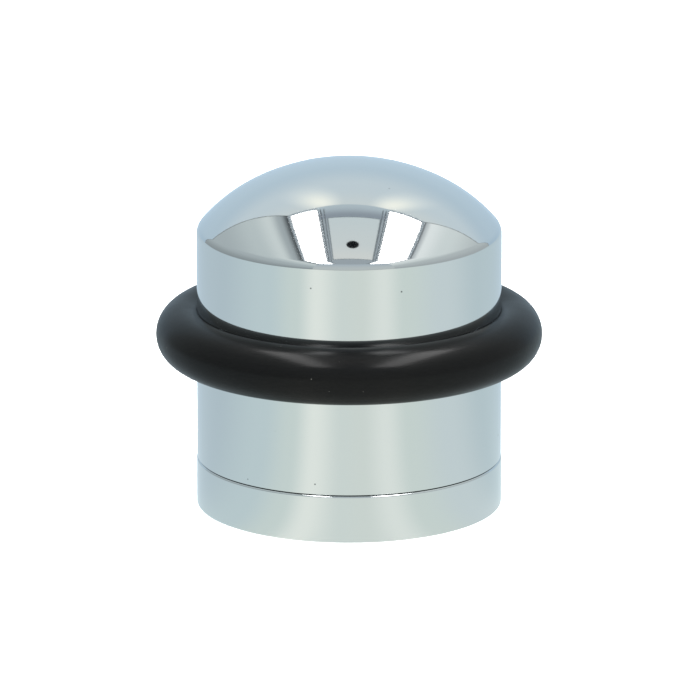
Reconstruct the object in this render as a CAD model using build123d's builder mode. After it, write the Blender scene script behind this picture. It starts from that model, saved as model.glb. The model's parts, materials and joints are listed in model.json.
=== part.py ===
from build123d import *
import math
import os

# Floor door holder (floor door stop): a domed, chrome plated brass body that
# screws down onto a base socket, with a round rubber ring in a groove and a
# small lock screw low on the back.
#
# Units are millimetres. Z is the axis of the stop, Z = 0 is the floor, and
# +Y is the back, where the lock screw sits.

# --- outside of the body and the base -------------------------------------
BODY_RADIUS = 20.0        # straight wall, from 40 mm bar
BASE_RADIUS = 20.05       # the base is turned a hair larger than the body
SEAM_HEIGHT = 6.40        # underside of the body
SEAM_GAP = 0.10           # fine shadow line round the outside of the seam
SEAT_GAP = 0.02           # the body comes down to this above its seat
RIM_HEIGHT = 37.15        # where wall and dome would meet without the round
RIM_ANGLE = 39.3          # slope of the dome's normal at the rim, in degrees
SHOULDER_RADIUS = 22.5    # arc next to the rim
DOME_RADIUS = 28.1        # arc over the top, centred on the axis
RIM_ROUND = 1.8           # turns the wall into the dome
EDGE_BREAK = 0.15         # small chamfer on turned edges
BASE_EDGE_ROUND = 0.3

# --- rubber ring ------------------------------------------------------------
RING_CORD_RADIUS = 3.72
RING_CENTRE_RADIUS = 21.65
RING_HEIGHT = 22.95
GROOVE_CLEARANCE = 0.06

# --- screw joint between base and body, M24 x 2 -----------------------------
THREAD_PITCH = 2.0
THREAD_MAJOR_RADIUS = 12.0
THREAD_MINOR_RADIUS = 10.9175
FLANK_HALF_ANGLE = 30.0
FLANK_CLEARANCE = 0.12    # along the axis, between a screw flank and a nut flank
CREST_CLEARANCE = 0.10
ROOT_CLEARANCE = 0.06

LAND_RADIUS = 12.55       # plain land that the lock screw bears on
LAND_TOP = 12.6
LAND_CLEARANCE = 0.10
SCREW_UNDERCUT_RADIUS = 10.6
SCREW_UNDERCUT_TOP = 14.6
SPIGOT_TOP = 23.4
SPIGOT_CHAMFER = 1.0

NUT_UNDERCUT_RADIUS = 12.4
NUT_UNDERCUT_BOTTOM = 25.2
NUT_UNDERCUT_TOP = 27.8
BORE_TOP = 31.0
DRILL_POINT_ANGLE = 118.0

# --- inside of the base -----------------------------------------------------
WELL_RADIUS = 7.0         # room for the floor screw's head and the driver
WELL_FLOOR = 4.6
SEAT_OUTER_RADIUS = 17.0  # the body rests on the flange inside this radius
FLOOR_SCREW_RADIUS = 2.75
COUNTERSINK_RADIUS = 5.3  # 90 degree countersink for a 5 mm screw

# --- lock screw, M4 grub screw with a hexagon socket ------------------------
LOCK_HEIGHT = 9.6
LOCK_HOLE_RADIUS = 2.0
LOCK_SCREW_RADIUS = 1.95
LOCK_SCREW_LENGTH = 6.0
LOCK_TIP = 12.62          # distance of the tip from the axis
LOCK_CHAMFER = 0.4
LOCK_SOCKET_FLATS = 2.0
LOCK_SOCKET_DEPTH = 2.6
LOCK_HOLE_CHAMFER = 0.25


def thread_profile(radius_in, radius_out, width_at_minor, narrows):
    """Corners of a thread groove's section about z = 0, in the X-Z plane.

    The width changes by the flank angle on the way out: it narrows outwards
    in a nut and widens outwards in a screw.
    """
    flank = math.tan(math.radians(FLANK_HALF_ANGLE))
    direction = -1 if narrows else 1
    half_in = width_at_minor / 2 + direction * (radius_in - THREAD_MINOR_RADIUS) * flank
    half_out = width_at_minor / 2 + direction * (radius_out - THREAD_MINOR_RADIUS) * flank
    return [(radius_in, -half_in), (radius_out, -half_out), (radius_out, half_out), (radius_in, half_in)]


def cut_thread_groove(builder, corners, start, end, radius):
    """Cut a right-hand helical groove out of the builder's part.

    The section follows a helix that rises from z = start to z = end, and it
    crosses the +X half plane at z = start. A cut that takes nothing away is
    an error, because the two threads would then lie inside each other.
    """
    blank_volume = builder.part.volume
    with BuildLine():
        path = Helix(pitch=THREAD_PITCH, height=end - start, radius=radius, center=(0, 0, start))
    with BuildSketch(Plane(origin=(0, 0, start), x_dir=(1, 0, 0), z_dir=(0, -1, 0))) as section:
        with BuildLine():
            Polyline(corners, close=True)
        make_face()
    sweep(sections=section.sketch, path=path, is_frenet=True, mode=Mode.SUBTRACT)
    if blank_volume - builder.part.volume < 1.0:
        raise ValueError(f"the thread groove from {start} to {end} was not cut")


# --- domed body ---------------------------------------------------------------
# The dome is a shoulder arc from the rim and a larger arc, centred on the
# axis, that takes over from it where their tangents agree.
rim_slope = math.radians(RIM_ANGLE)
shoulder_centre = (
    BODY_RADIUS - SHOULDER_RADIUS * math.cos(rim_slope),
    RIM_HEIGHT - SHOULDER_RADIUS * math.sin(rim_slope),
)
blend_slope = math.acos(shoulder_centre[0] / (DOME_RADIUS - SHOULDER_RADIUS))
blend_angle = math.degrees(blend_slope)
dome_centre_height = shoulder_centre[1] - (DOME_RADIUS - SHOULDER_RADIUS) * math.sin(blend_slope)
dome_top = dome_centre_height + DOME_RADIUS

counterbore_radius = LAND_RADIUS + LAND_CLEARANCE
counterbore_top = LAND_TOP + LAND_CLEARANCE
bore_radius = THREAD_MINOR_RADIUS + CREST_CLEARANCE
drill_point_height = bore_radius / math.tan(math.radians(DRILL_POINT_ANGLE / 2))
thread_entry = counterbore_top + (THREAD_MAJOR_RADIUS - bore_radius)

with BuildPart() as domed_body:
    with BuildSketch(Plane.XZ) as body_section:
        with BuildLine():
            Polyline(
                (0, dome_top),
                (0, BORE_TOP + drill_point_height),
                (bore_radius, BORE_TOP),
                (bore_radius, NUT_UNDERCUT_TOP),
                (NUT_UNDERCUT_RADIUS, NUT_UNDERCUT_TOP),
                (NUT_UNDERCUT_RADIUS, NUT_UNDERCUT_BOTTOM),
                (bore_radius, NUT_UNDERCUT_BOTTOM),
                (bore_radius, thread_entry),
                (THREAD_MAJOR_RADIUS, counterbore_top),
                (counterbore_radius, counterbore_top),
                (counterbore_radius, SEAM_HEIGHT),
                (BODY_RADIUS - EDGE_BREAK, SEAM_HEIGHT),
                (BODY_RADIUS, SEAM_HEIGHT + EDGE_BREAK),
                (BODY_RADIUS, RIM_HEIGHT),
            )
            CenterArc(shoulder_centre, SHOULDER_RADIUS, RIM_ANGLE, blend_angle - RIM_ANGLE)
            CenterArc((0, dome_centre_height), DOME_RADIUS, blend_angle, 90 - blend_angle)
        make_face()
    revolve(axis=Axis.Z)

    nut_groove = thread_profile(
        radius_in=bore_radius - 0.4,
        radius_out=THREAD_MAJOR_RADIUS + ROOT_CLEARANCE,
        width_at_minor=0.75 * THREAD_PITCH + FLANK_CLEARANCE,
        narrows=True,
    )
    cut_thread_groove(
        domed_body,
        nut_groove,
        start=counterbore_top - THREAD_PITCH,
        end=NUT_UNDERCUT_BOTTOM + 0.45 * THREAD_PITCH,
        radius=THREAD_MAJOR_RADIUS,
    )

    rim = domed_body.edges().filter_by(GeomType.CIRCLE).filter_by(
        lambda edge: abs(edge.center().Z - RIM_HEIGHT) < 1e-3 and abs(edge.radius - BODY_RADIUS) < 1e-3
    )
    fillet(rim, radius=RIM_ROUND)

    with BuildSketch(Plane.XZ):
        with Locations((RING_CENTRE_RADIUS, RING_HEIGHT)):
            Circle(RING_CORD_RADIUS + GROOVE_CLEARANCE)
    revolve(axis=Axis.Z, mode=Mode.SUBTRACT)

    with Locations(Plane(origin=(0, BODY_RADIUS, LOCK_HEIGHT), x_dir=(1, 0, 0), z_dir=(0, 1, 0))):
        CounterSinkHole(
            radius=LOCK_HOLE_RADIUS,
            counter_sink_radius=LOCK_HOLE_RADIUS + LOCK_HOLE_CHAMFER,
            depth=BODY_RADIUS - LAND_RADIUS,
            counter_sink_angle=90,
        )

domed_body.part.label = "domed_body"

# --- base socket ----------------------------------------------------------------
screw_crest = THREAD_MAJOR_RADIUS - CREST_CLEARANCE
screw_root = THREAD_MINOR_RADIUS - ROOT_CLEARANCE
flange_top = SEAM_HEIGHT - SEAM_GAP
seat_top = SEAM_HEIGHT - SEAT_GAP

with BuildPart() as base_socket:
    with BuildSketch(Plane.XZ):
        with BuildLine():
            Polyline(
                (FLOOR_SCREW_RADIUS, 0),
                (BASE_RADIUS, 0),
                (BASE_RADIUS, flange_top),
                (SEAT_OUTER_RADIUS, flange_top),
                (SEAT_OUTER_RADIUS, seat_top),
                (LAND_RADIUS, seat_top),
                (LAND_RADIUS, LAND_TOP),
                (SCREW_UNDERCUT_RADIUS, LAND_TOP),
                (SCREW_UNDERCUT_RADIUS, SCREW_UNDERCUT_TOP),
                (screw_crest, SCREW_UNDERCUT_TOP),
                (screw_crest, SPIGOT_TOP - SPIGOT_CHAMFER),
                (screw_crest - SPIGOT_CHAMFER, SPIGOT_TOP),
                (WELL_RADIUS, SPIGOT_TOP),
                (WELL_RADIUS, WELL_FLOOR),
                (COUNTERSINK_RADIUS, WELL_FLOOR),
                (FLOOR_SCREW_RADIUS, WELL_FLOOR - (COUNTERSINK_RADIUS - FLOOR_SCREW_RADIUS)),
                close=True,
            )
        make_face()
    revolve(axis=Axis.Z)

    screw_groove = thread_profile(
        radius_in=screw_root,
        radius_out=screw_crest + 0.2,
        width_at_minor=0.25 * THREAD_PITCH + FLANK_CLEARANCE,
        narrows=False,
    )
    # Half a pitch above the nut's groove, so that each ridge sits in a groove.
    screw_start = counterbore_top + THREAD_PITCH / 2
    cut_thread_groove(
        base_socket,
        screw_groove,
        start=screw_start,
        end=SPIGOT_TOP + THREAD_PITCH,
        radius=THREAD_MAJOR_RADIUS,
    )

    outer_edges = base_socket.edges().filter_by(GeomType.CIRCLE).filter_by(
        lambda edge: abs(edge.radius - BASE_RADIUS) < 1e-3
    )
    fillet(outer_edges.sort_by(Axis.Z)[0], radius=BASE_EDGE_ROUND)
    upper_edge = base_socket.edges().filter_by(GeomType.CIRCLE).filter_by(
        lambda edge: abs(edge.radius - BASE_RADIUS) < 1e-3
    )
    chamfer(upper_edge.sort_by(Axis.Z)[-1], length=EDGE_BREAK)

base_socket.part.label = "base_socket"

# --- rubber ring ------------------------------------------------------------------
with BuildPart() as buffer_ring:
    with BuildSketch(Plane.XZ):
        with Locations((RING_CENTRE_RADIUS, RING_HEIGHT)):
            Circle(RING_CORD_RADIUS)
    revolve(axis=Axis.Z)

buffer_ring.part.label = "buffer_ring"

# --- lock screw -------------------------------------------------------------------
lock_head = Plane(origin=(0, LOCK_TIP + LOCK_SCREW_LENGTH, LOCK_HEIGHT), x_dir=(1, 0, 0), z_dir=(0, 1, 0))

with BuildPart() as lock_screw:
    with BuildSketch(lock_head):
        Circle(LOCK_SCREW_RADIUS)
    extrude(amount=-LOCK_SCREW_LENGTH)
    chamfer(lock_screw.edges().filter_by(GeomType.CIRCLE), length=LOCK_CHAMFER)
    with BuildSketch(lock_head):
        RegularPolygon(radius=LOCK_SOCKET_FLATS / 2, side_count=6, major_radius=False)
    extrude(amount=-LOCK_SOCKET_DEPTH, mode=Mode.SUBTRACT)

lock_screw.part.label = "lock_screw"

# --- files ------------------------------------------------------------------------
os.makedirs("parts", exist_ok=True)
for piece in (domed_body, base_socket, buffer_ring, lock_screw):
    export_step(piece.part, f"parts/{piece.part.label}.step")
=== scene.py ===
"""Looks of a floor door stop: chrome plated body and base, rubber ring and lock screw.

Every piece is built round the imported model, in metres, in the same frame: Z is
the axis of the stop, the floor is Z = 0 and +Y is the back.  Sizes inside the
classes are in millimetres.
"""

import json
import logging
import math
from dataclasses import dataclass, field
from enum import Enum
from typing import Any, Callable

import bpy
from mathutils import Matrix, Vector

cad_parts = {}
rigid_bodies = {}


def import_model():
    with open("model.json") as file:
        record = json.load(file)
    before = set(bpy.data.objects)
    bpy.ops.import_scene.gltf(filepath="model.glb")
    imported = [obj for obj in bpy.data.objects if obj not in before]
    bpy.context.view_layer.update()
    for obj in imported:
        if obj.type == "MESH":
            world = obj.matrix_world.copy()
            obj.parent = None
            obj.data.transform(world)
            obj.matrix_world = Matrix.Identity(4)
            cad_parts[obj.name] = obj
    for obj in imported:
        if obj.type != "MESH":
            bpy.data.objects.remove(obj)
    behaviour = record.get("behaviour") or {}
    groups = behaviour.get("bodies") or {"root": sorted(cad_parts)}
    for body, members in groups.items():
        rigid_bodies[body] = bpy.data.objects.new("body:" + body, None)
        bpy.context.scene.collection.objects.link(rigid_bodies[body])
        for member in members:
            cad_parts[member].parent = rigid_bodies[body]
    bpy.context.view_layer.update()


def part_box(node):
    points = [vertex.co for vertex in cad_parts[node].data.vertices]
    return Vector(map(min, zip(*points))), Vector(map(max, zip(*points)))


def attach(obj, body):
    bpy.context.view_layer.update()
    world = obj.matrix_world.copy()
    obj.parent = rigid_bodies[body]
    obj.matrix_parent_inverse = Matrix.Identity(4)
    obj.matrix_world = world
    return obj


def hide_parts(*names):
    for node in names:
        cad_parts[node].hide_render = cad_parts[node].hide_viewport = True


Node = bpy.types.Node
Socket = bpy.types.NodeSocket
Tree = bpy.types.NodeTree
Pair = tuple[float, float]
Triple = tuple[float, float, float]
Quad = tuple[float, float, float, float]

MM = 0.001
CRISP_BEND = math.radians(20.0)
UPRIGHT = (0.0, 0.0, 0.0)
TO_BACK = (math.radians(-90.0), 0.0, 0.0)
LOG = logging.getLogger("door_stop")

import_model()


# --------------------------------------------------------------------------
# small tools
# --------------------------------------------------------------------------


def linear(hex_colour: str) -> Quad:
    """Turn an sRGB hex colour into the linear RGBA that the shaders use.

    Args:
        hex_colour: A colour such as "#C6C7C8".

    Returns:
        Linear red, green and blue, and an alpha of 1.
    """
    channels = [int(hex_colour[i : i + 2], 16) / 255 for i in (1, 3, 5)]
    values = [c / 12.92 if c <= 0.04045 else ((c + 0.055) / 1.055) ** 2.4 for c in channels]
    return (*values, 1.0)


def add_node(tree: Tree, kind: str, inputs: dict | None = None, **settings: Any) -> Node:
    """Add one node to a tree, with its settings, values and links.

    Args:
        tree: The node tree to add to.
        kind: The node's type name.
        inputs: Input name or index, to a value or to the socket that feeds it.
        **settings: Attributes of the node, set before its inputs.

    Returns:
        The new node.
    """
    node = tree.nodes.new(kind)
    for name, value in settings.items():
        setattr(node, name, value)
    for key, value in (inputs or {}).items():
        if isinstance(value, Socket):
            tree.links.new(value, node.inputs[key])
        else:
            node.inputs[key].default_value = value
    return node


def link_object(name: str, data: bpy.types.ID) -> bpy.types.Object:
    """Make an object for a mesh or other data and put it in the scene.

    Args:
        name: The object's name.
        data: The mesh, camera or other data block.

    Returns:
        The new object, at the origin.
    """
    made = bpy.data.objects.new(name, data)
    bpy.context.scene.collection.objects.link(made)
    return made


# --------------------------------------------------------------------------
# outlines of turned pieces
# --------------------------------------------------------------------------


@dataclass
class Outline:
    """Half section of a turned piece, walked with the metal on the right.

    Each point holds a radius, a height and the way the surface faces there,
    so a corner is two points in one place that face two ways.
    """

    points: list[Quad] = field(default_factory=list)
    arc_step: float = 1.5

    def lines(self, *corners: Pair) -> "Outline":
        """Add straight stretches through the corners, given as (radius, height)."""
        for (r0, z0), (r1, z1) in zip(corners, corners[1:]):
            run, rise = r1 - r0, z1 - z0
            length = math.hypot(run, rise)
            facing = (-rise / length, run / length)
            self.points += [(r0, z0, *facing), (r1, z1, *facing)]
        return self

    def arc(self, centre: Pair, radius: float, start: float, end: float) -> "Outline":
        """Add an arc.

        Args:
            centre: Its centre, as (radius, height).
            radius: Its radius.
            start: Angle of its first point, in degrees from outward to up.
            end: Angle of its last point; past start it bends into the metal.

        Returns:
            This outline.
        """
        steps = max(4, math.ceil(abs(end - start) / self.arc_step))
        side = 1.0 if end < start else -1.0
        for i in range(steps + 1):
            angle = math.radians(start + (end - start) * i / steps)
            out, up = math.cos(angle), math.sin(angle)
            self.points.append((centre[0] + radius * out, centre[1] + radius * up, side * out, side * up))
        return self

    def as_object(self, name: str) -> bpy.types.Object:
        """Make a guide object that holds the points, in metres, and the facing of each."""
        mesh = bpy.data.meshes.new(name)
        mesh.from_pydata([(r * MM, 0.0, z * MM) for r, z, _, _ in self.points], [], [])
        facing = mesh.attributes.new("facing", "FLOAT_VECTOR", "POINT")
        facing.data.foreach_set("vector", [v for _, _, out, up in self.points for v in (out, 0.0, up)])
        guide = link_object(name, mesh)
        guide.hide_render = True
        return guide


# --------------------------------------------------------------------------
# geometry trees
# --------------------------------------------------------------------------


@dataclass
class GeometryTree:
    """A Geometry Nodes tree with named inputs, and the way it is run."""

    name: str
    sockets: dict[str, str]

    def __post_init__(self) -> None:
        """Make the empty tree with its inputs and its output."""
        self.tree = bpy.data.node_groups.new(self.name, "GeometryNodeTree")
        face = self.tree.interface
        face.new_socket("Geometry", in_out="OUTPUT", socket_type="NodeSocketGeometry")
        self.ids = {
            name: face.new_socket(name, in_out="INPUT", socket_type=kind).identifier
            for name, kind in self.sockets.items()
        }
        self.inlet = self.add("NodeGroupInput").outputs

    def add(self, kind: str, inputs: dict | None = None, **settings: Any) -> Node:
        """Add a node to this tree."""
        return add_node(self.tree, kind, inputs, **settings)

    def finish(self, geometry: Socket) -> None:
        """Close the tree: smooth faces, crisp bends, Realize Instances and Set Material."""
        smooth = self.add("GeometryNodeSetShadeSmooth", {"Geometry": geometry})
        bend = self.add("GeometryNodeInputMeshEdgeAngle").outputs["Unsigned Angle"]
        crisp = self.add("FunctionNodeCompare", {0: bend, 1: CRISP_BEND}, operation="GREATER_THAN")
        split = self.add(
            "GeometryNodeSetShadeSmooth",
            {"Geometry": smooth.outputs[0], "Selection": crisp.outputs[0], "Shade Smooth": False},
            domain="EDGE",
        )
        real = self.add("GeometryNodeRealizeInstances", {"Geometry": split.outputs[0]})
        dressed = self.add(
            "GeometryNodeSetMaterial", {"Geometry": real.outputs[0], "Material": self.inlet["Material"]}
        )
        self.add("NodeGroupOutput", {"Geometry": dressed.outputs[0]})

    def run(self, name: str, **values: Any) -> bpy.types.Object:
        """Run the tree once and keep its result as a plain mesh object.

        Args:
            name: Name of the piece.
            **values: The tree's inputs, with _ for a space.

        Returns:
            An object at the origin with the finished mesh and no modifier.
        """
        carrier = link_object(name + "_carrier", bpy.data.meshes.new(name + "_carrier"))
        modifier = carrier.modifiers.new(self.name, "NODES")
        modifier.node_group = self.tree
        for key, value in values.items():
            modifier[self.ids[key.replace("_", " ")]] = value
        graph = bpy.context.evaluated_depsgraph_get()
        mesh = bpy.data.meshes.new_from_object(carrier.evaluated_get(graph), depsgraph=graph)
        bpy.data.objects.remove(carrier)
        mesh.name = name
        return link_object(name, mesh)


class TurnedTree(GeometryTree):
    """Turns an outline round Z, drills it if asked, and places it.

    The facing of each outline point goes round with it and becomes the
    surface's exact normal, so that a mirror finish shows no facets.
    """

    def __init__(self, drilled: bool) -> None:
        """Build the tree.

        Args:
            drilled: True for a tree that takes the shape of a drill away.
        """
        sockets = {
            "Outline": "NodeSocketObject",
            "Columns": "NodeSocketInt",
            "Facing Sign": "NodeSocketFloat",
            "Tilt": "NodeSocketVector",
            "Place": "NodeSocketVector",
            "Material": "NodeSocketMaterial",
        }
        if drilled:
            sockets["Drill"] = "NodeSocketObject"
        super().__init__("drilled_turning" if drilled else "turning", sockets)
        inlet = self.inlet
        guide = self.add("GeometryNodeObjectInfo", {"Object": inlet["Outline"]}).outputs["Geometry"]
        size = self.add("GeometryNodeAttributeDomainSize", {"Geometry": guide}, component="MESH")
        across = self.add("ShaderNodeMath", {0: inlet["Columns"], 1: 1.0}, operation="ADD").outputs[0]
        grid = self.add(
            "GeometryNodeMeshGrid", {"Vertices X": size.outputs["Point Count"], "Vertices Y": across}
        ).outputs["Mesh"]
        index = self.add("GeometryNodeInputIndex").outputs[0]
        row = self.add("FunctionNodeIntegerMath", {0: index, 1: across}, operation="DIVIDE").outputs[0]
        column = self.add("FunctionNodeIntegerMath", {0: index, 1: across}, operation="MODULO").outputs[0]
        share = self.add("ShaderNodeMath", {0: column, 1: inlet["Columns"]}, operation="DIVIDE").outputs[0]
        angle = self.add("ShaderNodeMath", {0: share, 1: math.tau}, operation="MULTIPLY").outputs[0]
        place = self.add("GeometryNodeInputPosition").outputs[0]
        facing = self.add(
            "GeometryNodeInputNamedAttribute", {"Name": "facing"}, data_type="FLOAT_VECTOR"
        ).outputs[0]
        signed = self.add(
            "ShaderNodeVectorMath", {0: facing, "Scale": inlet["Facing Sign"]}, operation="SCALE"
        ).outputs[0]
        turned = [self._turned(guide, value, row, angle) for value in (place, signed)]
        moved = self.add(
            "ShaderNodeVectorMath", {0: turned[0], 1: inlet["Place"]}, operation="ADD"
        ).outputs[0]
        shell = self.add("GeometryNodeSetPosition", {"Geometry": grid, "Position": moved}).outputs[0]
        for domain, value in (("POINT", turned[1]), ("CORNER", facing)):
            shell = self.add(
                "GeometryNodeStoreNamedAttribute",
                {"Geometry": shell, "Name": "facing", "Value": value},
                data_type="FLOAT_VECTOR",
                domain=domain,
            ).outputs[0]
        shell = self.add(
            "GeometryNodeMergeByDistance", {"Geometry": shell, "Distance": 0.001 * MM}
        ).outputs[0]
        if drilled:
            drill = self.add("GeometryNodeObjectInfo", {"Object": inlet["Drill"]}).outputs["Geometry"]
            shell = self.add(
                "GeometryNodeMeshBoolean",
                {"Mesh 1": shell, "Mesh 2": drill},
                operation="DIFFERENCE",
                solver="EXACT",
            ).outputs["Mesh"]
        exact = self.add(
            "GeometryNodeSetMeshNormal",
            {"Mesh": shell, "Custom Normal": facing},
            mode="FREE",
            domain="CORNER",
        ).outputs[0]
        self.finish(exact)

    def _turned(
        self,
        guide: Socket,
        value: Socket,
        row: Socket,
        angle: Socket,
    ) -> Socket:
        """Read a vector off the outline, swing it round Z and tilt it with the piece.

        Args:
            guide: The outline's geometry.
            value: The vector to read there.
            row: Which outline point each vertex stands for.
            angle: How far round each vertex is.

        Returns:
            The swung and tilted vector.
        """
        read = self.add(
            "GeometryNodeSampleIndex",
            {"Geometry": guide, "Value": value, "Index": row},
            data_type="FLOAT_VECTOR",
            domain="POINT",
        )
        swung = self.add(
            "ShaderNodeVectorRotate", {"Vector": read.outputs[0], "Angle": angle}, rotation_type="Z_AXIS"
        )
        tilted = self.add(
            "ShaderNodeVectorRotate",
            {"Vector": swung.outputs[0], "Rotation": self.inlet["Tilt"]},
            rotation_type="EULER_XYZ",
        )
        return tilted.outputs[0]


class ThreadTree(GeometryTree):
    """Winds the ridge of a right-hand screw thread round an axis.

    The spiral turns clockwise, so it is wound from its top end down.
    """

    def __init__(self) -> None:
        """Build the tree."""
        sockets = {
            "Radius": "NodeSocketFloat",
            "Pitch": "NodeSocketFloat",
            "Turns": "NodeSocketFloat",
            "Depth": "NodeSocketFloat",
            "Crest": "NodeSocketFloat",
            "Root": "NodeSocketFloat",
            "Tilt": "NodeSocketVector",
            "Place": "NodeSocketVector",
            "Material": "NodeSocketMaterial",
        }
        super().__init__("screw_thread", sockets)
        inlet = self.inlet
        height = self.add(
            "ShaderNodeMath", {0: inlet["Pitch"], 1: inlet["Turns"]}, operation="MULTIPLY"
        ).outputs[0]
        drop = self.add("ShaderNodeMath", {0: height, 1: -1.0}, operation="MULTIPLY").outputs[0]
        rise = self.add("ShaderNodeCombineXYZ", {"Z": height}).outputs[0]
        path = self.add(
            "GeometryNodeCurveSpiral",
            {
                "Resolution": 72,
                "Rotations": inlet["Turns"],
                "Start Radius": inlet["Radius"],
                "End Radius": inlet["Radius"],
                "Height": drop,
            },
        ).outputs[0]
        path = self.add("GeometryNodeSetPosition", {"Geometry": path, "Offset": rise}).outputs[0]
        path = self.add("GeometryNodeSetCurveNormal", {"Curve": path}, mode="Z_UP").outputs[0]
        section = self.add(
            "GeometryNodeCurvePrimitiveQuadrilateral",
            {
                "Height": inlet["Depth"],
                "Bottom Width": inlet["Root"],
                "Top Width": inlet["Crest"],
                "Offset": 0.0,
            },
            mode="TRAPEZOID",
        ).outputs[0]
        section = self.add(
            "GeometryNodeTransform", {"Geometry": section, "Rotation": (0.0, 0.0, math.radians(90))}
        ).outputs[0]
        ridge = self.add(
            "GeometryNodeCurveToMesh", {"Curve": path, "Profile Curve": section, "Fill Caps": True}
        ).outputs[0]
        ridge = self.add(
            "GeometryNodeTransform",
            {"Geometry": ridge, "Translation": inlet["Place"], "Rotation": inlet["Tilt"]},
        ).outputs[0]
        self.finish(ridge)


# --------------------------------------------------------------------------
# finishes
# --------------------------------------------------------------------------


class Look(Enum):
    """The finishes that the stop's pieces take."""

    CHROME = "chrome"
    RUBBER = "rubber"
    STEEL = "steel"


def new_surface(name: str) -> tuple[bpy.types.Material, Tree, Node, Socket]:
    """Make an empty Principled material.

    Args:
        name: The material's name.

    Returns:
        The material, its tree, its shader and the Object coordinates.
    """
    material = bpy.data.materials.new(name)
    material.use_nodes = True
    tree = material.node_tree
    tree.nodes.clear()
    shader = add_node(tree, "ShaderNodeBsdfPrincipled")
    add_node(tree, "ShaderNodeOutputMaterial", {"Surface": shader.outputs[0]})
    place = add_node(tree, "ShaderNodeTexCoord").outputs["Object"]
    return material, tree, shader, place


def connect(tree: Tree, shader: Node, links: dict[str, Socket]) -> None:
    """Link patterns to the named inputs of a shader."""
    for name, socket in links.items():
        tree.links.new(socket, shader.inputs[name])


@dataclass(frozen=True)
class ChromePlate:
    """Bright decorative chrome over buffed nickel on turned brass.

    The plate is a mirror with a faint blue cast.  What breaks the mirror is
    the buffing under it, a slow waviness a few millimetres long, and a pit
    here and there where the plate did not close.
    """

    colour: str = "#C4C7C8"
    pit_colour: str = "#6E7172"
    roughness: float = 0.045
    pit_roughness: float = 0.35
    wave_length: float = 7.0
    wave_height: float = 0.0012
    pit_spacing: float = 5.0
    pit_radius: float = 0.16

    def make(self) -> bpy.types.Material:
        """Build the material."""
        material, tree, shader, place = new_surface("bright_chrome_plate")
        waves = add_node(
            tree,
            "ShaderNodeTexNoise",
            {"Vector": place, "Scale": 1 / (self.wave_length * MM), "Detail": 1.0},
        )
        pits = add_node(
            tree,
            "ShaderNodeTexVoronoi",
            {"Vector": place, "Scale": 1 / (self.pit_spacing * MM)},
            feature="F1",
        )
        edge = self.pit_radius / self.pit_spacing
        depth = add_node(
            tree,
            "ShaderNodeMapRange",
            {
                "Value": pits.outputs["Distance"],
                "From Min": 0.5 * edge,
                "From Max": edge,
                "To Min": 1.0,
                "To Max": 0.0,
            },
        )
        colour = add_node(
            tree,
            "ShaderNodeMix",
            {"Factor": depth.outputs[0], "A": linear(self.colour), "B": linear(self.pit_colour)},
            data_type="RGBA",
        )
        dull = add_node(
            tree,
            "ShaderNodeMapRange",
            {"Value": depth.outputs[0], "To Min": self.roughness, "To Max": self.pit_roughness},
        )
        ripple = add_node(
            tree,
            "ShaderNodeBump",
            {"Height": waves.outputs[0], "Distance": self.wave_height * MM, "Strength": 1.0},
        )
        shader.inputs["Metallic"].default_value = 1.0
        connect(
            tree,
            shader,
            {
                "Base Color": colour.outputs["Result"],
                "Roughness": dull.outputs[0],
                "Normal": ripple.outputs[0],
            },
        )
        return material


@dataclass(frozen=True)
class MouldedRubber:
    """Black moulded rubber with a satin, slightly dusty skin.

    The skin copies the mould: a fine, close texture that spreads a highlight
    softly.  The real grain is about 0.1 mm across and is drawn coarser, so that
    it shows.  Pale dust clings to the skin as small specks.
    """

    colour: str = "#0D0D0D"
    dust_colour: str = "#6E6C66"
    ior: float = 1.12
    skin: float = 0.15
    skin_roughness: float = 0.20
    roughness: float = 0.34
    roughness_spread: float = 0.10
    patch_size: float = 6.0
    grain_size: float = 0.35
    grain_height: float = 0.012
    dust_spacing: float = 2.2
    dust_radius: float = 0.09

    def make(self) -> bpy.types.Material:
        """Build the material."""
        material, tree, shader, place = new_surface("moulded_black_rubber")
        grain = add_node(
            tree,
            "ShaderNodeTexNoise",
            {"Vector": place, "Scale": 1 / (self.grain_size * MM), "Detail": 3.0},
        )
        patches = add_node(
            tree,
            "ShaderNodeTexNoise",
            {"Vector": place, "Scale": 1 / (self.patch_size * MM), "Detail": 2.0},
        )
        specks = add_node(
            tree,
            "ShaderNodeTexVoronoi",
            {"Vector": place, "Scale": 1 / (self.dust_spacing * MM)},
            feature="F1",
        )
        edge = self.dust_radius / self.dust_spacing
        dust = add_node(
            tree,
            "ShaderNodeMapRange",
            {
                "Value": specks.outputs["Distance"],
                "From Min": 0.4 * edge,
                "From Max": edge,
                "To Min": 0.8,
                "To Max": 0.0,
            },
        )
        colour = add_node(
            tree,
            "ShaderNodeMix",
            {"Factor": dust.outputs[0], "A": linear(self.colour), "B": linear(self.dust_colour)},
            data_type="RGBA",
        )
        rough = add_node(
            tree,
            "ShaderNodeMapRange",
            {
                "Value": patches.outputs[0],
                "From Min": 0.3,
                "From Max": 0.7,
                "To Min": self.roughness - self.roughness_spread / 2,
                "To Max": self.roughness + self.roughness_spread / 2,
            },
        )
        bump = add_node(
            tree,
            "ShaderNodeBump",
            {"Height": grain.outputs[0], "Distance": self.grain_height * MM, "Strength": 1.0},
        )
        shader.inputs["IOR"].default_value = self.ior
        shader.inputs["Coat Weight"].default_value = self.skin
        shader.inputs["Coat Roughness"].default_value = self.skin_roughness
        connect(
            tree,
            shader,
            {
                "Base Color": colour.outputs["Result"],
                "Roughness": rough.outputs[0],
                "Normal": bump.outputs[0],
            },
        )
        return material


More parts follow.
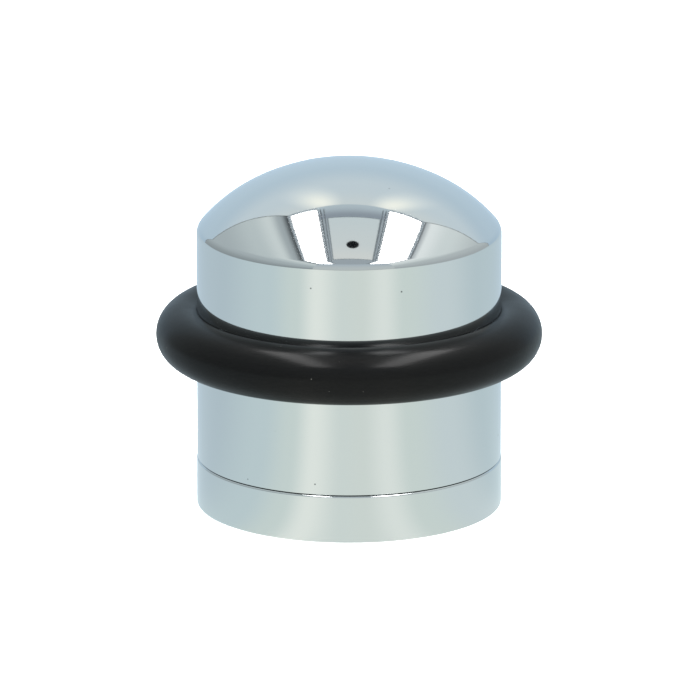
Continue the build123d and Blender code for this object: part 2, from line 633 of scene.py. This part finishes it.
@dataclass(frozen=True)
class StainlessSteel:
    """Plain stainless steel of a small turned screw, satin from the cutting tool.

    The tool's marks are rings round the screw, which spread a highlight along
    it.  They are drawn coarser than the real ones, so that they show.
    """

    colour: str = "#A9A7A3"
    roughness: float = 0.3
    tool_mark: float = 0.12
    mark_height: float = 0.004

    def make(self) -> bpy.types.Material:
        """Build the material."""
        material, tree, shader, place = new_surface("stainless_steel")
        marks = add_node(
            tree,
            "ShaderNodeTexWave",
            {"Vector": place, "Scale": 1 / (self.tool_mark * MM) / 20, "Distortion": 1.5, "Detail": 2.0},
            wave_type="RINGS",
            rings_direction="Y",
        )
        bump = add_node(
            tree,
            "ShaderNodeBump",
            {"Height": marks.outputs["Fac"], "Distance": self.mark_height * MM, "Strength": 1.0},
        )
        shader.inputs["Base Color"].default_value = linear(self.colour)
        shader.inputs["Metallic"].default_value = 1.0
        shader.inputs["Roughness"].default_value = self.roughness
        connect(tree, shader, {"Normal": bump.outputs[0]})
        return material


@dataclass
class Workshop:
    """The geometry trees and finishes that all the pieces share."""

    turning: TurnedTree = field(default_factory=lambda: TurnedTree(drilled=False))
    drilling: TurnedTree = field(default_factory=lambda: TurnedTree(drilled=True))
    threading: ThreadTree = field(default_factory=ThreadTree)

    def __post_init__(self) -> None:
        """Make one material for each finish."""
        self.finishes = {
            Look.CHROME: ChromePlate().make(),
            Look.RUBBER: MouldedRubber().make(),
            Look.STEEL: StainlessSteel().make(),
        }

    def turn(
        self,
        name: str,
        outline: Outline,
        look: Look,
        columns: int = 256,
        place: Triple = (0.0, 0.0, 0.0),
        tilt: Triple = UPRIGHT,
        drill: bpy.types.Object | None = None,
        inside_out: bool = False,
    ) -> bpy.types.Object:
        """Turn an outline into a piece.

        Args:
            name: Name of the piece.
            outline: Its half section.
            look: Its finish.
            columns: Faces round the piece.
            place: Where the outline's origin goes, in millimetres.
            tilt: Turn of the outline's axis away from Z, in radians.
            drill: The shape of a hole to take away, or None.
            inside_out: True for a drill, whose surface becomes a hole's wall.

        Returns:
            The piece.
        """
        guide = outline.as_object(name + "_outline")
        values = {
            "Outline": guide,
            "Columns": columns,
            "Facing_Sign": -1.0 if inside_out else 1.0,
            "Tilt": tilt,
            "Place": [v * MM for v in place],
            "Material": self.finishes[look],
        }
        if drill is None:
            made = self.turning.run(name, **values)
        else:
            made = self.drilling.run(name, Drill=drill, **values)
        bpy.data.objects.remove(guide)
        return made

    def thread(
        self, name: str, look: Look, place: Triple, tilt: Triple, **sizes: float
    ) -> bpy.types.Object:
        """Wind a thread's ridge.

        Args:
            name: Name of the piece.
            look: Its finish.
            place: Start of its axis, in millimetres.
            tilt: Turn of its axis away from Z, in radians.
            **sizes: Radius, Pitch, Depth, Crest and Root in millimetres, and Turns.

        Returns:
            The piece.
        """
        values = {key: value if key == "Turns" else value * MM for key, value in sizes.items()}
        return self.threading.run(
            name, Tilt=tilt, Place=[v * MM for v in place], Material=self.finishes[look], **values
        )


def fit(piece: bpy.types.Object, body: str, node: str | None = None) -> None:
    """Put a finished piece on its body and report it.

    Args:
        piece: The piece.
        body: The CAD body that it rides on.
        node: The CAD node that it stands for, if any.
    """
    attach(piece, body)
    if node is not None:
        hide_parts(node)
    LOG.info("%s: %d faces, rides on %s", piece.name, len(piece.data.polygons), body)


# --------------------------------------------------------------------------
# sub-assemblies
# --------------------------------------------------------------------------


@dataclass
class ScrewJoint:
    """The M24 x 2 thread between the base's spigot and the body's bore."""

    pitch: float = 2.0
    screw_crest: float = 11.9
    screw_root: float = 10.86
    nut_crest: float = 11.02
    nut_root: float = 12.06
    crest_width: float = 0.22
    root_width: float = 1.42
    bite: float = 0.15
    nut_ridge_height: float = 13.7
    screw_ridge_height: float = 14.7

    def ridge(
        self,
        shop: Workshop,
        name: str,
        look: Look,
        crest: float,
        root: float,
        phase: float,
        start: float,
        end: float,
    ) -> bpy.types.Object:
        """Wind a ridge from its root, where it bites into the metal, to its crest.

        Args:
            shop: The shared trees and finishes.
            name: Name of the piece.
            look: Its finish.
            crest: Radius of the ridge's crest.
            root: Radius of the surface that it stands on.
            phase: Height of the ridge on the +X side.
            start: Height at which it begins.
            end: Height at which it ends.

        Returns:
            The piece.
        """
        inner, outer = sorted((crest, root + math.copysign(self.bite, root - crest)))
        turn = (end - phase) / self.pitch * math.tau
        widths = (self.root_width, self.crest_width)
        at_inner, at_outer = widths if crest > root else widths[::-1]
        return shop.thread(
            name,
            look,
            place=(0.0, 0.0, start),
            tilt=(0.0, 0.0, turn),
            Radius=(inner + outer) / 2,
            Pitch=self.pitch,
            Turns=(end - start) / self.pitch,
            Depth=outer - inner,
            Crest=at_outer,
            Root=at_inner,
        )


@dataclass
class DomedBody:
    """The turned body: dome, straight wall with the ring's groove, blind bore."""

    rim_height: float = 37.15
    rim_angle: float = 39.3
    rim_round: float = 1.8
    shoulder_radius: float = 22.5
    dome_radius: float = 28.1
    groove_clearance: float = 0.06
    edge_break: float = 0.15
    counterbore: float = 12.65
    counterbore_top: float = 12.7
    undercut: float = 12.4
    undercut_bottom: float = 25.2
    undercut_top: float = 27.8
    bore_top: float = 31.0
    drill_point: float = 118.0
    lock_hole: float = 2.0
    lock_hole_edge: float = 0.25

    def outline(self, joint: ScrewJoint) -> Outline:
        """Work out the half section."""
        low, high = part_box("domed_body")
        ring_low, ring_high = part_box("buffer_ring")
        radius, seam = high.x / MM, low.z / MM
        cord = (ring_high.z - ring_low.z) / 2 / MM
        ring_radius, ring_height = ring_high.x / MM - cord, (ring_high.z + ring_low.z) / 2 / MM

        slope = math.radians(self.rim_angle)
        shoulder = (
            radius - self.shoulder_radius * math.cos(slope),
            self.rim_height - self.shoulder_radius * math.sin(slope),
        )
        blend = math.acos(shoulder[0] / (self.dome_radius - self.shoulder_radius))
        dome_centre = shoulder[1] - (self.dome_radius - self.shoulder_radius) * math.sin(blend)
        out = radius - self.rim_round - shoulder[0]
        up = math.sqrt((self.shoulder_radius - self.rim_round) ** 2 - out**2)
        rim = (radius - self.rim_round, shoulder[1] + up)
        rim_slope = math.degrees(math.atan2(up, out))

        groove = cord + self.groove_clearance
        lip = math.sqrt(groove**2 - (ring_radius - radius) ** 2)
        lip_angle = math.degrees(math.atan2(lip, radius - ring_radius))
        cone = joint.nut_crest / math.tan(math.radians(self.drill_point / 2))

        section = Outline(arc_step=1.2)
        section.arc((0.0, dome_centre), self.dome_radius, 90.0, math.degrees(blend))
        section.arc(shoulder, self.shoulder_radius, math.degrees(blend), rim_slope)
        section.arc(rim, self.rim_round, rim_slope, 0.0)
        section.lines((radius, rim[1]), (radius, ring_height + lip))
        section.arc((ring_radius, ring_height), groove, lip_angle, 360.0 - lip_angle)
        section.lines((radius, ring_height - lip), (radius, seam + self.edge_break))
        edge = self.edge_break
        section.arc((radius - edge, seam + edge), edge, 0.0, -90.0)
        section.lines(
            (radius - self.edge_break, seam),
            (self.counterbore, seam),
            (self.counterbore, self.counterbore_top),
            (joint.nut_root, self.counterbore_top),
            (joint.nut_root, self.undercut_bottom),
            (self.undercut, self.undercut_bottom),
            (self.undercut, self.undercut_top),
            (joint.nut_crest, self.undercut_top),
            (joint.nut_crest, self.bore_top),
            (0.0, self.bore_top + cone),
        )
        return section

    def drill(self, shop: Workshop) -> bpy.types.Object:
        """Make the shape of the lock screw's hole, with the broken edge at its mouth."""
        low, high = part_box("domed_body")
        screw_low, screw_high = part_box("lock_screw")
        radius = high.x / MM
        height = (screw_low.z + screw_high.z) / 2 / MM
        mouth = self.lock_hole + self.lock_hole_edge
        shape = Outline().lines(
            (0.0, radius + 1.0),
            (mouth + 1.0, radius + 1.0),
            (mouth, radius),
            (self.lock_hole, radius - self.lock_hole_edge),
            (self.lock_hole, self.counterbore - 1.0),
            (0.0, self.counterbore - 1.0),
        )
        return shop.turn(
            "lock_hole",
            shape,
            Look.CHROME,
            columns=64,
            place=(0.0, 0.0, height),
            tilt=TO_BACK,
            inside_out=True,
        )

    def build(self, shop: Workshop, joint: ScrewJoint) -> None:
        """Make the body and its thread, and fit them."""
        drill = self.drill(shop)
        shell = shop.turn("chromed_body", self.outline(joint), Look.CHROME, columns=320, drill=drill)
        bpy.data.objects.remove(drill)
        fit(shell, "body", "domed_body")
        ridge = joint.ridge(
            shop,
            "body_nut_thread",
            Look.CHROME,
            crest=joint.nut_crest,
            root=joint.nut_root,
            phase=joint.nut_ridge_height,
            start=self.counterbore_top + 1.0,
            end=self.undercut_bottom,
        )
        fit(ridge, "body")


@dataclass
class BaseSocket:
    """The turned base: flange, plain land, threaded spigot and floor screw hole."""

    edge_break: float = 0.28
    foot_round: float = 0.3
    flange_top: float = 6.33
    seat_top: float = 6.38
    seat_radius: float = 17.0
    land_radius: float = 12.55
    land_top: float = 12.6
    undercut_radius: float = 10.6
    undercut_top: float = 14.6
    spigot_point: float = 0.6
    well_radius: float = 7.0
    well_floor: float = 4.6
    countersink: float = 5.3
    screw_hole: float = 2.75

    def outline(self, joint: ScrewJoint) -> Outline:
        """Work out the half section."""
        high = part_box("base_socket")[1]
        radius, top = high.x / MM, high.z / MM
        point, edge = self.spigot_point, self.edge_break
        section = Outline()
        section.lines(
            (self.well_radius, top),
            (joint.screw_root - point, top),
            (joint.screw_root, top - point),
            (joint.screw_root, self.undercut_top),
            (self.undercut_radius, self.undercut_top),
            (self.undercut_radius, self.land_top),
            (self.land_radius, self.land_top),
            (self.land_radius, self.seat_top),
            (self.seat_radius, self.seat_top),
            (self.seat_radius, self.flange_top),
            (radius - edge, self.flange_top),
        )
        section.arc((radius - edge, self.flange_top - edge), edge, 90.0, 0.0)
        section.lines((radius, self.flange_top - edge), (radius, self.foot_round))
        section.arc((radius - self.foot_round, self.foot_round), self.foot_round, 0.0, -90.0)
        section.lines(
            (radius - self.foot_round, 0.0),
            (self.screw_hole, 0.0),
            (self.screw_hole, self.well_floor - self.countersink + self.screw_hole),
            (self.countersink, self.well_floor),
            (self.well_radius, self.well_floor),
            (self.well_radius, top),
        )
        return section

    def build(self, shop: Workshop, joint: ScrewJoint) -> None:
        """Make the base and its thread, and fit them."""
        base = shop.turn("chromed_base", self.outline(joint), Look.CHROME, columns=320)
        fit(base, "base", "base_socket")
        ridge = joint.ridge(
            shop,
            "base_screw_thread",
            Look.CHROME,
            crest=joint.screw_crest,
            root=joint.screw_root,
            phase=joint.screw_ridge_height,
            start=self.undercut_top + 0.8,
            end=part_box("base_socket")[1].z / MM - 0.8,
        )
        fit(ridge, "base")


@dataclass
class BufferRing:
    """The round rubber ring that the door meets."""

    arc_step: float = 4.0

    def outline(self) -> Outline:
        """Work out the section, a circle that fills the ring's box."""
        low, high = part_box("buffer_ring")
        cord = (high.z - low.z) / 2 / MM
        centre = (high.x / MM - cord, (high.z + low.z) / 2 / MM)
        return Outline(arc_step=self.arc_step).arc(centre, cord, 90.0, -270.0)

    def build(self, shop: Workshop) -> None:
        """Make the ring and fit it."""
        ring = shop.turn("rubber_buffer", self.outline(), Look.RUBBER, columns=320)
        fit(ring, "ring", "buffer_ring")


@dataclass
class LockScrew:
    """The M4 grub screw with a hexagon socket, low on the back of the body."""

    root_radius: float = 1.6
    pitch: float = 0.7
    crest_width: float = 0.1
    root_width: float = 0.55
    bite: float = 0.1
    edge_break: float = 0.1
    chamfer: float = 0.4
    socket_flats: float = 2.0
    socket_depth: float = 2.6

    def hexagon(self, place: Vector) -> bpy.types.Object:
        """Make the shape of the socket, whose flats face inwards.

        Args:
            place: Middle of the screw's head, in metres.

        Returns:
            A prism along Y that stands out of the head.
        """
        corner = self.socket_flats / math.sqrt(3) * MM
        spots = [(corner * math.cos(a), corner * math.sin(a)) for a in (i * math.tau / 6 for i in range(6))]
        depths = (-self.socket_depth * MM, 1.0 * MM)
        points = [(place.x + x, place.y + y, place.z + z) for y in depths for x, z in spots]
        faces = [tuple(range(6)), tuple(reversed(range(6, 12)))]
        faces += [(i, i + 6, (i + 1) % 6 + 6, (i + 1) % 6) for i in range(6)]
        mesh = bpy.data.meshes.new("hexagon")
        mesh.from_pydata(points, [], faces)
        facing = mesh.attributes.new("facing", "FLOAT_VECTOR", "CORNER")
        for face in mesh.polygons:
            for corner_index in face.loop_indices:
                facing.data[corner_index].vector = -face.normal
        shape = link_object("hexagon", mesh)
        shape.hide_render = True
        return shape

    def build(self, shop: Workshop) -> None:
        """Make the screw and its thread, and fit them."""
        low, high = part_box("lock_screw")
        length = (high.y - low.y) / MM
        crest = (high.x - low.x) / 2 / MM
        place = (0.0, low.y / MM, (low.z + high.z) / 2 / MM)
        section = Outline().lines(
            (0.0, length),
            (self.root_radius - self.edge_break, length),
            (self.root_radius, length - self.edge_break),
            (self.root_radius, self.chamfer),
            (self.root_radius - self.chamfer, 0.0),
            (0.0, 0.0),
        )
        hexagon = self.hexagon(Vector((0.0, high.y, place[2] * MM)))
        screw = shop.turn(
            "grub_screw", section, Look.STEEL, columns=64, place=place, tilt=TO_BACK, drill=hexagon
        )
        bpy.data.objects.remove(hexagon)
        fit(screw, "lock", "lock_screw")
        ridge = shop.thread(
            "grub_screw_thread",
            Look.STEEL,
            place=(0.0, place[1] + 0.5, place[2]),
            tilt=TO_BACK,
            Radius=(crest + self.root_radius - self.bite) / 2,
            Pitch=self.pitch,
            Turns=(length - 0.8) / self.pitch,
            Depth=crest - self.root_radius + self.bite,
            Crest=self.crest_width,
            Root=self.root_width,
        )
        fit(ridge, "lock")


# --------------------------------------------------------------------------
# stage, light and camera
# --------------------------------------------------------------------------


class Facing(Enum):
    """Which axis a light sheet stands across."""

    X = 0
    Y = 1
    Z = 2


@dataclass(frozen=True)
class Halo:
    """A soft pale glow where a wall's cloth lies near a lamp, in metres.

    It is taller than it is wide: heights count only by the squeeze.
    """

    middle: Triple
    colour: str = "#FFFFF4"
    core: float = 0.0
    reach: float = 0.10
    squeeze: float = 0.3
    gain: float = 0.40


def toned_light(
    name: str,
    tones: tuple[tuple[float, str], ...],
    strength: float,
    measure: Callable[[Tree, Socket], Socket],
    halos: tuple[Halo, ...] = (),
) -> bpy.types.Material:
    """Make a glow whose colour changes with a measure of the place.

    Args:
        name: The material's name.
        tones: Value of the measure and the colour there, in rising order.
        strength: How many times the colour the sheet glows.
        measure: Adds the nodes that turn Object coordinates into the measure.
        halos: Soft pale glows on the sheet.

    Returns:
        The material.
    """
    material = bpy.data.materials.new(name)
    material.use_nodes = True
    tree = material.node_tree
    tree.nodes.clear()
    place = add_node(tree, "ShaderNodeTexCoord").outputs["Object"]
    first, last = tones[0][0], tones[-1][0]
    span = last - first or 1.0
    value = measure(tree, place)
    share = add_node(
        tree, "ShaderNodeMapRange", {"Value": value, "From Min": first, "From Max": first + span}
    ).outputs[0]
    ramp = add_node(tree, "ShaderNodeValToRGB", {"Fac": share})
    ramp.color_ramp.interpolation = "EASE"
    stops = ramp.color_ramp.elements
    while len(stops) < len(tones):
        stops.new(0.5)
    for i in range(len(stops)):
        where, colour = tones[min(i, len(tones) - 1)]
        stops[i].position = (where - first) / span if i < len(tones) else 1.0
        stops[i].color = linear(colour)
    colour, power = ramp.outputs["Color"], strength
    for halo in halos:
        x, y, z = halo.middle
        away = add_node(
            tree,
            "ShaderNodeVectorMath",
            {0: place, 1: (1.0, 1.0, halo.squeeze), 2: (-x, -y, -z * halo.squeeze)},
            operation="MULTIPLY_ADD",
        ).outputs[0]
        far = add_node(tree, "ShaderNodeVectorMath", {0: away}, operation="LENGTH").outputs["Value"]
        near = add_node(
            tree,
            "ShaderNodeMapRange",
            {
                "Value": far,
                "From Min": halo.core,
                "From Max": halo.reach,
                "To Min": 1.0,
                "To Max": 0.0,
            },
            interpolation_type="SMOOTHSTEP",
        ).outputs[0]
        colour = add_node(
            tree,
            "ShaderNodeMix",
            {"Factor": near, "A": colour, "B": linear(halo.colour)},
            data_type="RGBA",
        ).outputs["Result"]
        power = add_node(
            tree, "ShaderNodeMath", {0: near, 1: halo.gain, 2: power}, operation="MULTIPLY_ADD"
        ).outputs[0]
    glow = add_node(tree, "ShaderNodeEmission", {"Color": colour, "Strength": power})
    add_node(tree, "ShaderNodeOutputMaterial", {"Surface": glow.outputs[0]})
    return material


@dataclass(frozen=True)
class Sheet:
    """A flat rectangle that glows, seen by reflections and by light but not by the camera."""

    name: str
    across: Facing
    low: Triple
    high: Triple
    tones: tuple[tuple[float, str], ...]
    along: Facing = Facing.Z
    strength: float = 1.0
    halos: tuple[Halo, ...] = ()

    def build(self) -> None:
        """Make the sheet and stage it."""
        flat = [i for i in range(3) if i != self.across.value]
        corners = []
        for a, b in ((0, 0), (1, 0), (1, 1), (0, 1)):
            spot = list(self.low)
            spot[flat[0]] = (self.low, self.high)[a][flat[0]]
            spot[flat[1]] = (self.low, self.high)[b][flat[1]]
            corners.append(tuple(spot))
        mesh = bpy.data.meshes.new(self.name)
        mesh.from_pydata(corners, [], [(0, 1, 2, 3)])
        mesh.materials.append(toned_light(self.name, self.tones, self.strength, self.measure, self.halos))
        sheet = link_object(self.name, mesh)
        sheet.visible_camera = False

    def measure(self, tree: Tree, place: Socket) -> Socket:
        """Measure the place along one axis, in metres."""
        return add_node(tree, "ShaderNodeSeparateXYZ", {"Vector": place}).outputs[self.along.value]


@dataclass
class LightTent:
    """A small cloth light tent with two lamps in its roof, in metres.

    The lamps stand either side of a pale middle panel with a lens hole.
    """

    left: float = -0.31
    right: float = 0.41
    back: float = 0.30
    front: float = -0.62
    roof: float = 0.70
    lamps: tuple[Pair, ...] = ((-0.288, -0.150), (0.192, 0.384))
    lamp_ends: Pair = (-0.55, 0.27)
    lamp_strength: float = 12.0
    frame_width: float = 0.006
    seam_width: float = 0.005
    rail_width: float = 0.005
    rail_tints: tuple[tuple[float, str], ...] = ((0.016, "#5E666B"), (0.032, "#7D868B"))
    panel_rim: float = 0.004
    halos: tuple[Pair, ...] = ((-0.112, 0.60), (0.170, 0.59))
    panel_low: Pair = (-0.100, -0.262)
    panel_high: Pair = (0.150, 0.150)
    hole: Pair = (0.020, -0.126)
    hole_radius: float = 0.036

    def roof_sheet(
        self,
        name: str,
        x: Pair,
        y: Pair,
        drop: float,
        *tones: tuple[float, str],
        strength: float = 1.0,
    ) -> Sheet:
        """Describe a sheet that hangs flat, drop millimetres under the roof, toned along Y."""
        height = self.roof - drop * MM
        low, high = (x[0], y[0], height), (x[1], y[1], height)
        return Sheet(name, Facing.Z, low, high, tones, Facing.Y, strength)

    def walls(self) -> list[Sheet]:
        """List the cloth: walls, roof and the open front."""
        top = self.roof
        # The side walls darken sharply just under the roof: painted shade where the cloth meets the roof.
        left = ((0.0, "#A9B3B6"), (0.23, "#C9D4D7"), (0.38, "#DFEAEB"), (0.50, "#F4FDFC"))
        left += ((0.60, "#C3CDD0"), (0.70, "#555B5E"))
        right = ((0.0, "#B5BCBE"), (0.24, "#C5CDCE"), (0.45, "#E5EDEC"), (0.62, "#FAFFFE"))
        right += ((0.67, "#D0D6D8"), (0.70, "#5A6064"))
        back = ((0.0, "#C2D9EA"), (0.16, "#CFE4F2"), (0.36, "#E6F4FB"), (0.70, "#F0F9FA"))
        open_front = ((0.0, "#D8DCDA"), (0.08, "#E6EEEE"), (0.70, "#D4E1EA"))
        low, high = (self.left, self.front, 0.0), (self.right, self.back, top)
        halos = tuple(Halo((x, self.back, z)) for x, z in self.halos)
        sheets = [
            Sheet("back_wall", Facing.Y, (low[0], high[1], 0.0), high, back, strength=1.12, halos=halos),
            Sheet("left_wall", Facing.X, low, (low[0], high[1], top), left, strength=1.08),
            Sheet("right_wall", Facing.X, (high[0], low[1], 0.0), high, right, strength=1.30),
            Sheet("open_front", Facing.Y, low, (high[0], low[1], top), open_front),
            self.roof_sheet(
                "roof_cloth", (self.left, self.right), (self.front, self.back), 0.0, (0.0, "#C2CDD4")
            ),
            self.roof_sheet(
                "roof_back_band",
                (self.lamps[0][1], self.lamps[1][0]),
                (self.panel_high[1], self.back),
                1.0,
                (0.17, "#B0BBC6"),
                (0.29, "#DCEBF3"),
            ),
        ]
        dim = ((0.0, "#7E7F7A"), (0.70, "#4A453E"))
        for name, x in (("left", self.left + MM), ("right", self.right - MM)):
            seam = (x, self.back - self.seam_width, 0.0)
            sheets.append(Sheet(name + "_seam", Facing.X, seam, (x, self.back, top), dim))
        return sheets

    def lamp_sheets(self) -> list[Sheet]:
        """List the lamps, their dark frames and the pale rails inside them."""
        sheets = []
        near, far = self.lamp_ends
        for name, (x0, x1) in zip(("left", "right"), self.lamps):
            inner, side = (x1, 1) if name == "left" else (x0, -1)
            edge = self.frame_width
            around = ((x0 - edge, x1 + edge), (near - edge, far + edge))
            sheets.append(self.roof_sheet(name + "_frame", *around, 2.0, (0.0, "#463E37")))
            white = (0.0, "#FFFFFF")
            lamp = self.roof_sheet(
                name + "_lamp", (x0, x1), (near, far), 3.0, white, strength=self.lamp_strength
            )
            sheets.append(lamp)
            for number, (offset, tint) in enumerate(self.rail_tints):
                rail = sorted((inner + side * offset, inner + side * (offset + self.rail_width)))
                sheets.append(self.roof_sheet(f"{name}_rail_{number}", rail, (near, far), 2.0, (0.0, tint)))
        return sheets

    def panel_sheets(self) -> list[Sheet]:
        """List the middle panel and its rim."""
        (x0, y0), (x1, y1) = self.panel_low, self.panel_high
        rim, tones = self.panel_rim, ((-0.26, "#FCFFFC"), (-0.10, "#F2FAFA"), (0.15, "#EDF8FA"))
        return [
            self.roof_sheet("panel_rim", (x0 - rim, x1 + rim), (y0 - rim, y1 + rim), 2.0, (0.0, "#7C868B")),
            self.roof_sheet("panel", (x0, x1), (y0, y1), 3.0, *tones, strength=1.09),
        ]

    def build_hole(self) -> None:
        """Make the lens hole, a round black patch under the panel."""
        turns = [i * math.tau / 32 for i in range(32)]
        height = self.roof - 4 * MM
        reach = self.hole_radius
        x, y = self.hole
        spots = [(x + reach * math.cos(a), y + reach * math.sin(a), height) for a in turns]
        mesh = bpy.data.meshes.new("lens_hole")
        mesh.from_pydata(spots, [], [tuple(range(32))])
        black = self.roof_sheet("lens_hole", (0.0, 0.0), (0.0, 0.0), 4.0, (0.0, "#1C1F22"))
        mesh.materials.append(toned_light("lens_hole", black.tones, 1.0, black.measure))
        hole = link_object("lens_hole", mesh)
        hole.visible_camera = False

    def build(self) -> None:
        """Make the tent."""
        for sheet in self.walls() + self.lamp_sheets() + self.panel_sheets():
            sheet.build()
        self.build_hole()


@dataclass
class Tabletop:
    """The plain white sweep that the stop stands on.

    The chrome mirrors a card of its own in place of the sweep.  The card holds
    the sweep's soft bright lanes, which lie below the two lamps.
    """

    half_width: float = 1.5
    colour: str = "#F4F4F3"
    glow: float = 0.5
    card_half_width: float = 0.62
    card_strength: float = 1.35
    lanes: tuple[tuple[float, str], ...] = (
        (-180.0, "#B0C3D1"),
        (-110.0, "#C1D1D9"),
        (-60.0, "#CFDFE2"),
        (-38.0, "#DCE8E4"),
        (-23.0, "#F8FDF6"),
        (-4.0, "#E3ECE7"),
        (8.0, "#E4ECE6"),
        (24.0, "#F2F8F2"),
        (40.0, "#DEE9E4"),
        (70.0, "#D8E4E6"),
        (110.0, "#C7D7DC"),
        (180.0, "#B0C3D1"),
    )

    @staticmethod
    def square(name: str, half: float, height: float) -> bpy.types.Mesh:
        """Make a flat square round the stop's axis, half metres to each side."""
        mesh = bpy.data.meshes.new(name)
        spots = [(x * half, y * half, height) for x, y in ((-1, -1), (1, -1), (1, 1), (-1, 1))]
        mesh.from_pydata(spots, [], [(0, 1, 2, 3)])
        return mesh

    @staticmethod
    def bearing(tree: Tree, place: Socket) -> Socket:
        """Measure the bearing from the stop, in degrees: 0 to the front, 90 to +X."""
        axes = add_node(tree, "ShaderNodeSeparateXYZ", {"Vector": place}).outputs
        ahead = add_node(tree, "ShaderNodeMath", {0: axes[1], 1: -1.0}, operation="MULTIPLY").outputs[0]
        turn = add_node(tree, "ShaderNodeMath", {0: axes[0], 1: ahead}, operation="ARCTAN2").outputs[0]
        return add_node(tree, "ShaderNodeMath", {0: turn}, operation="DEGREES").outputs[0]

    def build(self) -> None:
        """Make the floor that the camera sees, and the card that the chrome mirrors."""
        mesh = self.square("white_floor", self.half_width, 0.0)
        material, tree, shader, _ = new_surface("white_paper")
        shader.inputs["Base Color"].default_value = linear(self.colour)
        shader.inputs["Roughness"].default_value = 0.8
        shader.inputs["Emission Color"].default_value = linear("#FFFFFF")
        shader.inputs["Emission Strength"].default_value = self.glow
        mesh.materials.append(material)
        floor = link_object("white_floor", mesh)
        floor.visible_glossy = False
        mesh = self.square("bounce_card", self.card_half_width, -0.5 * MM)
        mesh.materials.append(toned_light("bounce_card", self.lanes, self.card_strength, self.bearing))
        card = link_object("bounce_card", mesh)
        card.visible_camera = False
        card.visible_diffuse = False
        card.visible_shadow = False


@dataclass
class Viewpoint:
    """The camera, a long lens a little above the stop."""

    distance: float = 1.326
    elevation: float = 15.436
    aim_height: float = 0.02053
    lens: float = 519.0
    shift: float = 0.0012

    def build(self) -> None:
        """Make the camera and give it to the scene."""
        slope = math.radians(self.elevation)
        back = Vector((0.0, -math.cos(slope), math.sin(slope)))
        data = bpy.data.cameras.new("camera")
        data.lens = self.lens
        data.sensor_width = 36.0
        data.shift_x = self.shift
        camera = link_object("camera", data)
        camera.location = Vector((0.0, 0.0, self.aim_height)) + back * self.distance
        camera.rotation_euler = (math.radians(90 - self.elevation), 0.0, 0.0)
        bpy.context.scene.camera = camera


def light_scene() -> None:
    """Set the air round the tent and keep whites true."""
    world = bpy.data.worlds.new("studio_air")
    world.use_nodes = True
    world.node_tree.nodes.clear()
    glow = add_node(world.node_tree, "ShaderNodeBackground", {"Color": linear("#F2F6F8"), "Strength": 1.0})
    add_node(world.node_tree, "ShaderNodeOutputWorld", {"Surface": glow.outputs[0]})
    bpy.context.scene.world = world
    bpy.context.scene.view_settings.view_transform = "Standard"


def main() -> None:
    """Build the stop, then its stage."""
    logging.basicConfig(level=logging.INFO, format="%(name)s: %(message)s")
    Viewpoint().build()
    shop = Workshop()
    joint = ScrewJoint()
    BaseSocket().build(shop, joint)
    DomedBody().build(shop, joint)
    BufferRing().build(shop)
    LockScrew().build(shop)
    LightTent().build()
    Tabletop().build()
    light_scene()


if __name__ == "__main__":
    main()
